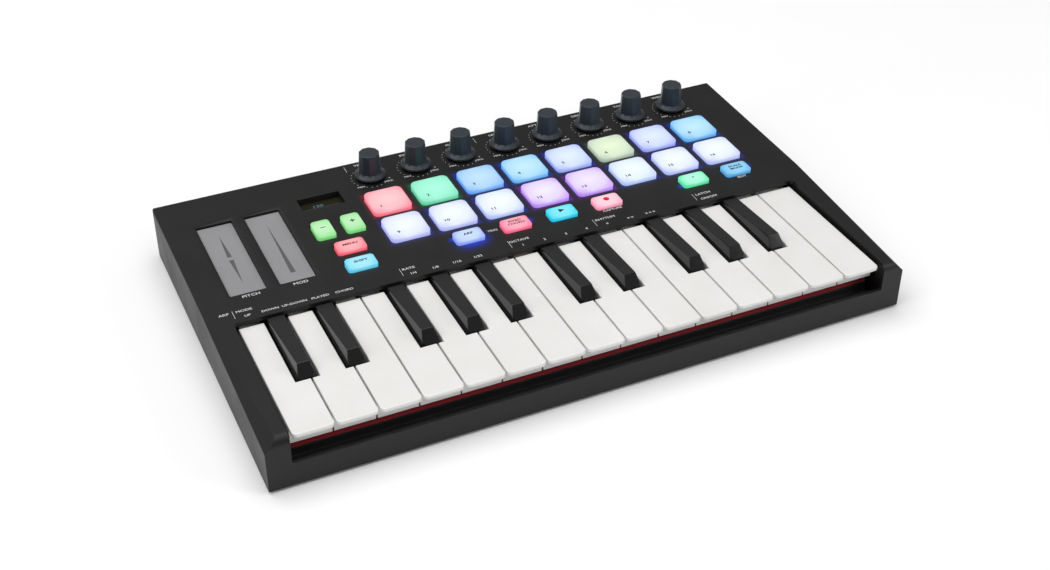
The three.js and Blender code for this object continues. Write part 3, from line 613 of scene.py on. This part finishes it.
def screen_look():
    look, shader, links = new_material("screen_window", srgb(38, 38, 26), 0.1)
    cells = noise(look, 4000, 2)
    links.new(tinted(look, cells, srgb(34, 34, 22), srgb(44, 44, 31)), shader.inputs["Base Color"])
    shader.inputs["Coat Weight"].default_value = 0.5
    return look


def glyph_look():
    look, shader, links = new_material("screen_glyphs", srgb(60, 84, 96), 0.4)
    flicker = noise(look, 5000, 2)
    links.new(tinted(look, flicker, srgb(55, 85, 100), srgb(110, 150, 165)), shader.inputs["Emission Color"])
    shader.inputs["Emission Strength"].default_value = 0.3
    return look


def board_look():
    look, shader, links = new_material("board_green", srgb(24, 74, 46), 0.4)
    weave = noise(look, 900, 3, 0.6, (1, 4, 1))
    links.new(tinted(look, weave, srgb(19, 62, 38), srgb(30, 86, 54)), shader.inputs["Base Color"])
    bump(look, shader, weave, 0.3, 0.02 * MM)
    return look


CASE_BLACK = case_look()
IVORY = white_key_look()
EBONY = black_key_look()
KNOB_RUBBER = knob_look()
FRAME_BLACK = moulded("frame_black", srgb(26, 26, 27), 0.6)[0]
FOOT_RUBBER = moulded("foot_rubber", srgb(22, 22, 23), 0.85, 0.5, 0.05)[0]
STRIP_GREY = moulded("strip_grey", srgb(139, 139, 141), 0.42, 0.4, 0.01, 0.03)[0]
DOME_GREY = moulded("dome_grey", srgb(178, 180, 176), 0.6)[0]
JACK_BLACK = moulded("jack_black", srgb(20, 20, 21), 0.35)[0]
FELT_RED = felt_look()
PRINT_GREY = printed_look("print_pale_grey", srgb(205, 205, 205))
PRINT_DARK = printed_look("print_dark", srgb(20, 22, 40))
PRINT_MAROON = printed_look("print_maroon", srgb(120, 12, 45))
PRINT_STRIP = printed_look("print_strip", srgb(88, 89, 90), 0.5)
STEEL = metal_look("socket_steel", srgb(190, 190, 192), 0.3, (1, 6, 1))
SCREW_BLACK = metal_look("screw_black_zinc", srgb(70, 70, 74), 0.4)
BOARD_GREEN = board_look()


# ---------------------------------------------------------------- case

def make_case():
    refined("top_case", "upper_shell", CASE_BLACK, ROOT, 0.3 * MM, 2)
    refined("bottom_case", "bottom_shell", CASE_BLACK, ROOT, 0.2 * MM, 1)
    refined("key_bed", "key_frame", FRAME_BLACK, ROOT, 0.2 * MM, 1)


def make_feet():
    """Rubber discs with a dished underside and a soft rim."""
    for name in ("foot_front_left", "foot_front_right", "foot_back_left", "foot_back_right"):
        low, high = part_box(name)
        radius = (high.x - low.x) / 2
        tall = high.z - low.z
        dish = 0.4 * MM
        rim = 0.7 * MM
        bevel = 0.2 * MM
        profile = [(0.0, dish), (radius * 0.55, dish), (radius * 0.68, 0.0), (radius - rim, 0.0),
                   (radius - bevel, bevel), (radius, rim), (radius, tall - bevel),
                   (radius - bevel, tall), (0.0, tall)]
        place = low_middle(name)
        piece(name + "_rubber", turned(profile, 40), FOOT_RUBBER, ROOT, (name,), place)


# The screws under the case, in millimetres: four outer ones, one at the back and two under the cheeks.
SCREWS = [(-163, 94), (163, 94), (-163, 28), (163, 28), (-20, 94.5), (-163.7, -88), (163.7, -88)]
SCREW_RADIUS = 2.8 * MM
SCREW_HEAD = 0.9 * MM
SCREW_SUNK = 0.15 * MM   # how far a head's lowest point is above the case's underside


def screw_mesh():
    """A pan head looking down, its cross recess cut out."""
    r, tall = SCREW_RADIUS, SCREW_HEAD
    profile = [(0, 0), (r * 0.7, 0.05 * MM), (r * 0.92, 0.25 * MM), (r, 0.5 * MM), (r, tall), (0, tall)]
    head = new_object("head", turned(profile, 32))
    bm = bmesh.new()
    add_prism(bm, cross_outline(1.6 * MM, 0.35 * MM), -0.3 * MM, 0.85 * MM)
    cross = new_object("cross", bm)
    cut = head.modifiers.new("recess", "BOOLEAN")
    cut.operation = "DIFFERENCE"
    cut.object = cross
    bpy.context.view_layer.update()
    made = bpy.data.meshes.new_from_object(head.evaluated_get(bpy.context.evaluated_depsgraph_get()))
    bm = bmesh.new()
    bm.from_mesh(made)
    bpy.data.objects.remove(head)
    bpy.data.objects.remove(cross)
    bpy.data.meshes.remove(made)
    return bm


def make_screws():
    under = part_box("bottom_case")[0].z
    for index, (x, y) in enumerate(SCREWS, 1):
        place = Vector((x * MM, y * MM, under + SCREW_SUNK))
        piece(f"screw_{index}", screw_mesh(), SCREW_BLACK, ROOT, place=place)


# ---------------------------------------------------------------- keys

KEY_SEEN = 4.5 * MM      # how far down a white key its edges are rounded


def make_keys():
    for name in WHITE_KEYS:
        hidden_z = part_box(name)[1].z - KEY_SEEN

        def seen(edge, lowest=hidden_z):
            return min(vert.co.z for vert in edge.verts) > lowest

        refined(name, name + "_cap", IVORY, name, 0.55 * MM, 3, seen)
    for name in BLACK_KEYS:
        refined(name, name + "_cap", EBONY, name, 0.7 * MM, 3)


def make_felt():
    """The strip the keys land on, its edges slightly crushed and its front edge near the shelf's."""
    low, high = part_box("key_felt")
    low.y -= FELT_FORWARD
    bm = bmesh.new()
    bmesh.ops.create_cube(bm, size=1)
    size = high - low
    for vert in bm.verts:
        vert.co = Vector((low[i] + (vert.co[i] + 0.5) * size[i] for i in range(3)))
    round_edges(bm, 0.35 * MM, 3)
    felt = piece("landing_felt", bm, FELT_RED, ROOT, ("key_felt",))


# ---------------------------------------------------------------- knobs

KNOB_FLATS = 10
KNOB_STEP = 2 * math.pi / KNOB_FLATS
KNOB_SIDES = 12 * KNOB_FLATS
KNOB_BORE = 3.3 * MM
KNOB_BORE_TOP = 9.8 * MM
SOFT_CORNER = 0.994      # the share of their radius at which the flats' corners are cut off


def flat_share(angle, flatness):
    """How far out a ten-sided outline is at an angle, as a share of its radius; flatness 0 makes it round."""
    off = (angle % KNOB_STEP) - KNOB_STEP / 2
    edge = math.cos(KNOB_STEP / 2) / math.cos(off)
    return flatness * min(edge, SOFT_CORNER) + (1 - flatness)


def bite(angle):
    """How deep a scallop is at an angle: 1 in its middle and 0 where it meets the next one."""
    off = abs(((angle + KNOB_STEP / 2) % KNOB_STEP) - KNOB_STEP / 2) / (KNOB_STEP / 2)
    return 1 - off * off


def knob_ring(base, z, flatness=0.0, scallop=0.0, drop=0.0):
    """One level of the knob; its scallops go in by scallop and down by drop."""
    points = []
    for k in range(KNOB_SIDES):
        a = 2 * math.pi * k / KNOB_SIDES
        r = base * flat_share(a, flatness) - scallop * bite(a)
        points.append((r * math.cos(a), r * math.sin(a), z - drop * bite(a)))
    return points


def knob_mesh():
    """A bored skirt with scallops round its top, and a tapering cap with ten flats and a rounded crown."""
    low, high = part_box("knob_1")
    radius = (high.x - low.x) / 2
    tall = high.z - low.z
    top = 2.6 * MM
    cap_base, cap_top = 6.4 * MM, 5.8 * MM
    bore = [knob_ring(KNOB_BORE, KNOB_BORE_TOP), knob_ring(KNOB_BORE, 0)]
    skirt = [
        knob_ring(radius - 0.5 * MM, 0),
        knob_ring(radius, 0.4 * MM),
        knob_ring(radius, 1.2 * MM),
        knob_ring(radius - 0.25 * MM, 1.55 * MM),
        knob_ring(radius - 0.7 * MM, top - 0.7 * MM, 0, 0.05 * MM, 0.1 * MM),
        knob_ring(radius - 1.4 * MM, top - 0.35 * MM, 0, 0.1 * MM, 0.25 * MM),
        knob_ring(cap_base + 0.45 * MM, top - 0.1 * MM, 0.6, 0.05 * MM, 0.3 * MM),
    ]
    cap = [
        knob_ring(cap_base + 0.05 * MM, top + 0.3 * MM, 1, 0, 0.2 * MM),
        knob_ring(cap_base - 0.05 * MM, top + 1.2 * MM, 1),
        knob_ring(cap_top + 0.05 * MM, tall - 1.2 * MM, 1),
        knob_ring(cap_top, tall - 0.45 * MM, 1),
        knob_ring(cap_top - 0.12 * MM, tall - 0.15 * MM, 1),
        knob_ring(cap_top - 0.4 * MM, tall, 1),
        knob_ring(cap_top - 1.4 * MM, tall - 0.05 * MM, 1),
        knob_ring(cap_top * 0.3, tall - 0.1 * MM, 1),
    ]
    return loft(bore + skirt + cap)


def make_knobs():
    for name in KNOBS:
        piece(name + "_cap", knob_mesh(), KNOB_RUBBER, name, (name,), low_middle(name))


# ---------------------------------------------------------------- pads and buttons

CAP_SHORT = 0.1 * MM     # a cap's rim is this far below its node's top, and its middle swells nearly up to it
PAD_GLOW = 15.5 * MM     # how far the lamp behind a pad reaches
BUTTON_GLOW = 9 * MM     # how far the lamp behind a button reaches


def make_pads():
    """Sixteen pads on one silicone sheet. The sheet rides with them below the panel."""
    for index, (edge, centre) in enumerate(PAD_COLOURS):
        name = f"pad_{index + 1:02d}"
        top = pad_high.z - PANEL_Z - CAP_SHORT
        bm = soft_block(PAD_CAP, PAD_CAP, PAD_FOOT - PANEL_Z, top, 3.3 * MM, 0.5 * MM, CAP_SHORT)
        look = lit_look(f"pad_glow_{index + 1:02d}", srgb(*edge), srgb(*centre), PAD_GLOW)
        stands_for = ("pad_mat",) if index == 0 else ()
        place = Vector((PAD_COLUMNS[index % 8], PAD_ROWS[index // 8], PANEL_Z))
        piece(name, bm, look, "pad_mat", stands_for, place)
    width = pad_high.x - pad_low.x
    depth = pad_high.y - pad_low.y
    corner = 2 * MM
    bm = loft([rounded_ring(width, depth, corner, -1.2 * MM), rounded_ring(width, depth, corner, -0.05 * MM)])
    look = moulded("pad_sheet", srgb(150, 152, 175), 0.5)[0]
    place = Vector(((pad_low.x + pad_high.x) / 2, (pad_low.y + pad_high.y) / 2, PAD_FOOT))
    piece("pad_sheet", bm, look, "pad_mat", place=place)


# Each button's rim colour, middle colour and mark.
BUTTON_LOOKS = {
    "button_minus": ((150, 225, 150), (194, 238, 190), "-"),
    "button_plus": ((150, 225, 150), (192, 237, 190), "+"),
    "button_menu": ((250, 130, 145), (254, 180, 182), "MENU"),
    "button_shift": ((125, 215, 240), (170, 232, 250), "SHIFT"),
    "button_arp": ((165, 185, 250), (205, 225, 255), "ARP"),
    "button_chord": ((250, 135, 165), (252, 180, 194), "FIXED CHORD"),
    "button_play": ((70, 215, 240), (134, 234, 248), "play"),
    "button_record": ((250, 180, 200), (253, 215, 225), "record"),
    "button_next": ((120, 235, 185), (180, 253, 226), ">"),
    "button_sound": ((115, 185, 230), (150, 214, 246), "SCALE MODE"),
}
# The buttons whose marks aren't printed in the dark ink.
BUTTON_INKS = {
    "button_record": printed_look("print_red", srgb(225, 10, 50)),
    "button_menu": PRINT_MAROON,
    "button_chord": PRINT_MAROON,
    "button_shift": printed_look("print_blue", srgb(35, 70, 130)),
}
BUTTON_FLANGE = 1.05 * MM  # how far a cap's sides lie inside its node's hidden flange
BUTTON_FOOT = -2.8 * MM    # a cap's lower end, below the panel


def make_buttons():
    for name, (edge, centre, mark) in BUTTON_LOOKS.items():
        low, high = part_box(name)
        width = high.x - low.x - 2 * BUTTON_FLANGE
        depth = high.y - low.y - 2 * BUTTON_FLANGE
        top = high.z - PANEL_Z - CAP_SHORT
        bm = soft_block(width, depth, BUTTON_FOOT, top, 2 * MM, 0.7 * MM, CAP_SHORT)
        look = lit_look(name + "_glow", srgb(*edge), srgb(*centre), BUTTON_GLOW)
        x, y, _ = middle(name)
        piece(name + "_cap", bm, look, name, (name,), Vector((x, y, PANEL_Z)))
        make_mark(name, mark, x, y, high.z)


# ---------------------------------------------------------------- printing

def cap_height():
    """How tall a capital of the stock typeface is at size 1."""
    curve = bpy.data.curves.new("measure", "FONT")
    curve.body = "H"
    probe = bpy.data.objects.new("measure", curve)
    bpy.context.scene.collection.objects.link(probe)
    bpy.context.view_layer.update()
    tall = probe.dimensions.y
    bpy.data.objects.remove(probe)
    return tall


CAP_HEIGHT = cap_height()
INK = 0.02 * MM          # how thick the print is
INK_SUNK = 0.005 * MM    # how far below its node's top the print on a pad or a button starts


def add_text(bm, words, x, y, z, height, stretch=1.2, weight=0.03):
    """Adds a line of print, lying flat round (x, y), its capitals the given height."""
    curve = bpy.data.curves.new("words", "FONT")
    curve.body = words
    curve.align_x = "CENTER"
    curve.align_y = "CENTER"
    curve.size = height / CAP_HEIGHT
    curve.extrude = INK / 2
    curve.offset = weight * height
    curve.resolution_u = 3
    text = bpy.data.objects.new("words", curve)
    bpy.context.scene.collection.objects.link(text)
    bpy.context.view_layer.update()
    mesh = bpy.data.meshes.new_from_object(text.evaluated_get(bpy.context.evaluated_depsgraph_get()))
    mesh.transform(Matrix.Translation((x, y, z + INK / 2)) @ Matrix.Diagonal((stretch, 1, 1, 1)))
    bm.from_mesh(mesh)
    bpy.data.objects.remove(text)
    bpy.data.meshes.remove(mesh)


def add_bar(bm, x, y, width, depth, z):
    left, right, front, back = x - width / 2, x + width / 2, y - depth / 2, y + depth / 2
    add_prism(bm, [(left, front), (right, front), (right, back), (left, back)], z, INK)


def add_dot(bm, x, y, radius, z, sides=12):
    angles = [2 * math.pi * k / sides for k in range(sides)]
    add_prism(bm, [(x + radius * math.cos(a), y + radius * math.sin(a)) for a in angles], z, INK)


MARK_BACK = 0.6 * MM     # how far behind the button's middle its mark is
MARK_WEIGHT = 0.05


def make_mark(name, mark, x, y, z):
    """The legend on a button: one or two words, a sign or a plain transport symbol."""
    bm = bmesh.new()
    y += MARK_BACK
    z -= INK_SUNK
    if mark == "play":
        triangle = [(x - 1.5 * MM, y - 1.6 * MM), (x + 1.9 * MM, y), (x - 1.5 * MM, y + 1.6 * MM)]
        add_prism(bm, triangle, z, INK)
    elif mark == "record":
        add_dot(bm, x, y, 1.7 * MM, z, 24)
    elif mark == "-":
        add_bar(bm, x, y, 2.8 * MM, 0.6 * MM, z)
    elif mark == "+":
        add_prism(bm, cross_outline(1.4 * MM, 0.35 * MM, x, y), z, INK)
    elif " " in mark:
        upper, lower = mark.split()
        add_text(bm, upper, x, y + 1.0 * MM, z, 1.55 * MM, weight=MARK_WEIGHT)
        add_text(bm, lower, x, y - 1.4 * MM, z, 1.55 * MM, weight=MARK_WEIGHT)
    else:
        add_text(bm, mark, x, y, z, 1.7 * MM, weight=MARK_WEIGHT)
    piece(name + "_legend", bm, BUTTON_INKS.get(name, PRINT_DARK), name)


def make_pad_numbers():
    """The numbers 1 to 16, each left of its pad's middle and in front of it."""
    bm = bmesh.new()
    for index in range(len(PAD_COLOURS)):
        x = PAD_COLUMNS[index % 8] - 5.6 * MM
        y = PAD_ROWS[index // 8] - 5.2 * MM
        add_text(bm, str(index + 1), x, y, pad_high.z - INK_SUNK, 2.0 * MM)
    piece("pad_numbers", bm, PRINT_DARK, "pad_mat")


SCALE_REACH = 10.6 * MM
SCALE_DOTS = 21
SCALE_START = 332        # the first dot's angle, and how far round the others go, in degrees
SCALE_SWEEP = 304
SCALE_WORDS = 8.0 * MM   # how far the words are to the side and to the front of the knob's axis


def add_knob_scale(bm, x, y, z):
    """A ring of dots round a knob, open on its right and bigger at its ends, with MIN and MAX in front."""
    for k in range(SCALE_DOTS):
        angle = math.radians(SCALE_START - SCALE_SWEEP * k / (SCALE_DOTS - 1))
        radius = (0.42 if k in (0, SCALE_DOTS - 1) else 0.26) * MM
        add_dot(bm, x + SCALE_REACH * math.cos(angle), y + SCALE_REACH * math.sin(angle), radius, z)
    add_text(bm, "MIN", x - SCALE_WORDS, y - SCALE_WORDS, z, 1.3 * MM)
    add_text(bm, "MAX", x + SCALE_WORDS, y - SCALE_WORDS, z, 1.3 * MM)


# Panel legends: the words, x, y and their capitals' height, in millimetres.
LEGENDS = [
    ("PITCH", -144.5, 5.8, 1.9), ("MOD", -118.9, 5.8, 1.9),
    ("ARP", -161.5, -4.9, 1.65), ("MODE", -151.4, -4.9, 1.65), ("RATE", -65.5, -4.9, 1.65),
    ("OCTAVE", -3.8, -5.0, 1.65), ("RHYTHM", 46.6, -5.0, 1.65), ("LATCH", 106.6, -5.0, 1.65),
    ("UP", -150.8, -9.4, 1.5), ("DOWN", -139.4, -9.4, 1.5), ("UP-DOWN", -127.0, -9.4, 1.5),
    ("PLAYED", -113.8, -9.4, 1.5), ("CHORD", -101.3, -9.4, 1.5),
    ("1/4", -64.6, -9.6, 1.6), ("1/8", -52.6, -9.6, 1.6),
    ("1/16", -40.8, -9.6, 1.6), ("1/32", -29.1, -9.6, 1.6),
    ("1", -3.5, -9.6, 1.6), ("2", 8.9, -9.6, 1.6), ("3", 21.3, -9.6, 1.6), ("4", 33.4, -9.6, 1.6),
    ("x", 45.6, -9.6, 1.6), ("x x", 59.4, -9.6, 1.6), ("x x x", 71.4, -9.6, 1.6),
    ("ON/OFF", 108.0, -9.6, 1.6),
    ("TRIG", -12.9, 8.8, 1.5), ("CAPTURE", 54.3, 1.2, 1.5), ("EDIT", 135.3, 1.2, 1.5),
]
KNOB_LABELS = ["TEMPO", "SWING", "GATE", "LEVEL", "ATTACK", "DECAY", "TONE", "WIDTH"]
KNOB_LABEL_Y = 98.2      # in millimetres
# The upright bars before groups of legends: x, y and length, in millimetres.
LEGEND_BARS = [(x, -6.6, 6.4) for x in (-157, -70, -9.8, 39.6, 100.5)]
KNOB_BARS = [(x, 96.5, 5.5) for x in (-64, 14)]
BAR_WIDTH = 0.25 * MM


def make_panel_print():
    bm = bmesh.new()
    for words, x, y, height in LEGENDS:
        add_text(bm, words, x * MM, y * MM, PANEL_Z, height * MM)
    for name in KNOBS:
        centre = middle(name)
        add_knob_scale(bm, centre.x, centre.y, PANEL_Z)
    for name, words in zip(KNOBS, KNOB_LABELS):
        add_text(bm, words, middle(name).x, KNOB_LABEL_Y * MM, PANEL_Z, 1.7 * MM)
    for x, y, length in LEGEND_BARS + KNOB_BARS:
        add_bar(bm, x * MM, y * MM, BAR_WIDTH, length * MM, PANEL_Z)
    piece("panel_print", bm, PRINT_GREY, ROOT)


# ---------------------------------------------------------------- strips, display and sockets

def slim_triangle(bm, x, base_y, apex_y, width, z):
    half = width / 2
    outline = [(x - half, base_y), (x + half, base_y), (x, apex_y)]
    add_prism(bm, outline if apex_y > base_y else outline[::-1], z, INK)


# The wedges on the strips: the strip, its base and its point as shares of the strip's length, and its width.
WEDGES = [
    ("pitch_strip", 0.53, 0.83, 2.4 * MM),
    ("pitch_strip", 0.49, 0.18, 2.4 * MM),
    ("mod_strip", 0.16, 0.83, 2.7 * MM),
]


def make_strips():
    for name in ("pitch_strip", "mod_strip"):
        refined(name, name + "_film", STRIP_GREY, ROOT, 0.2 * MM, 2)
    low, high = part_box("pitch_strip")
    span = high.y - low.y
    bm = bmesh.new()
    for name, base, point, width in WEDGES:
        slim_triangle(bm, middle(name).x, low.y + base * span, low.y + point * span, width, high.z)
    piece("strip_arrows", bm, PRINT_STRIP, ROOT)


def make_display():
    refined("display_module", "screen_glass", screen_look(), ROOT, 0.2 * MM, 2)
    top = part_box("display_module")[1].z
    centre = middle("display_module")
    bm = bmesh.new()
    for words, rise in (("120", 1.5), ("C 3", -2.0)):
        add_text(bm, words, centre.x - 1.5 * MM, centre.y + rise * MM, top, 2.2 * MM, stretch=1.3)
    piece("screen_digits", bm, glyph_look(), ROOT)


def make_sockets():
    refined("usb_socket", "usb_shell", STEEL, ROOT, 0.08 * MM, 2)
    refined("pedal_jack", "pedal_socket", JACK_BLACK, ROOT, 0.15 * MM, 2)


def dress_inner_nodes():
    """CAD nodes that stay as they are, inside the case, with their own materials."""
    looks = {"key_contact_board": BOARD_GREEN, "control_board": BOARD_GREEN, "contact_rubber": DOME_GREY}
    for name, look in looks.items():
        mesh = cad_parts[name].data
        mesh.materials.clear()
        mesh.materials.append(look)


# ---------------------------------------------------------------- assembly

bpy.context.scene.view_settings.view_transform = "Standard"
make_camera()
make_case()
make_feet()
make_screws()
make_keys()
make_felt()
make_knobs()
make_pads()
make_buttons()
make_pad_numbers()
make_panel_print()
make_strips()
make_display()
make_sockets()
dress_inner_nodes()
make_studio()
